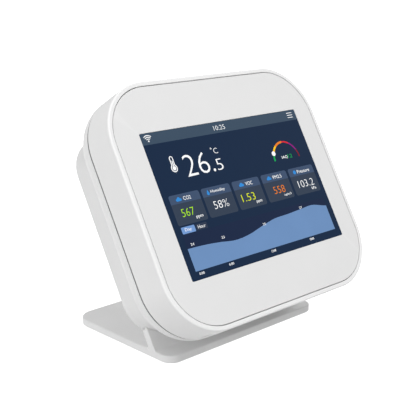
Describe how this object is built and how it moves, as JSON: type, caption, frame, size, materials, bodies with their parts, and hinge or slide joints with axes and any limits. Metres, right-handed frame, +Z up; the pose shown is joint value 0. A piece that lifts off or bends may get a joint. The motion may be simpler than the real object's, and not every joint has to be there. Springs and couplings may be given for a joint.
{
  "type": "air quality monitor",
  "caption": "Desktop air quality monitor: a tilted rounded-square touch-screen head with inner gas, dust and climate sensors that lifts off the tongue of an L-shaped stand.",
  "frame": {"origin": "on the desk surface, under the middle of the object's bounding box", "axes": "+Z up, -Y towards the viewer of the screen, +X to the viewer's right; the face leans back 30 degrees"},
  "size_m": [0.0948, 0.0712, 0.0891],
  "materials": {
    "shell_white": "fine satin moulded",
    "fascia_white": "smooth satin",
    "stand_white": "fine satin moulded",
    "button_white": "satin",
    "screen_glass": "glossy cover glass over a lit display",
    "lcd_black": "smooth",
    "foam_black": "matt foam",
    "bracket_steel": "brushed",
    "flex_amber": "smooth film",
    "board_green": "solder mask",
    "plastic_black": "fine matt",
    "can_tin": "bright tin",
    "sensor_grey": "brushed",
    "sensor_gold": "gold plated",
    "filter_grey": "fine woven mesh",
    "screw_steel": "zinc plated",
    "foot_rubber": "matt"
  },
  "bodies": {
    "stand": {"desk_stand": "stand_white", "foot_pad_1": "foot_rubber", "foot_pad_2": "foot_rubber", "foot_pad_3": "foot_rubber", "foot_pad_4": "foot_rubber"},
    "monitor": {"front_housing": "shell_white", "rear_cover": "shell_white", "front_panel": "fascia_white", "screen_lens": "screen_glass", "lcd_module": "lcd_black", "lcd_foam_pad": "foam_black", "lcd_bracket": "bracket_steel", "lcd_ribbon": "flex_amber", "main_board": "board_green", "lcd_connector": "plastic_black", "wifi_module": "can_tin", "processor": "plastic_black", "pm_sensor_case": "sensor_grey", "co2_sensor": "sensor_gold", "voc_sensor": "can_tin", "pressure_sensor": "can_tin", "humidity_sensor": "plastic_black", "buzzer": "plastic_black", "side_board": "board_green", "board_link": "plastic_black", "usb_socket": "can_tin", "tact_switch": "plastic_black", "dust_filter": "filter_grey", "case_screw_1": "screw_steel", "case_screw_2": "screw_steel", "case_screw_3": "screw_steel", "case_screw_4": "screw_steel", "board_screw_1": "screw_steel", "board_screw_2": "screw_steel", "board_screw_3": "screw_steel", "board_screw_4": "screw_steel", "bracket_screw_1": "screw_steel", "bracket_screw_2": "screw_steel", "bracket_screw_3": "screw_steel", "bracket_screw_4": "screw_steel"},
    "button": {"pair_button": "button_white"},
    "fan": {"pm_fan_rotor": "plastic_black"}
  },
  "joints": [
    {"name": "head_lift", "type": "slide", "parent": "stand", "child": "monitor", "axis": [0, 0.5, 0.866], "range_m": [0, 0.042]},
    {"name": "button_press", "type": "slide", "parent": "monitor", "child": "button", "axis": [-1, 0, 0], "range_m": [0, 0.0006], "stiffness_N_per_m": 500},
    {"name": "fan_spin", "type": "hinge", "parent": "monitor", "child": "fan", "pos_m": [-0.0195, 0.00873, 0.05324], "axis": [0, 0.866, -0.5], "continuous": true}
  ]
}
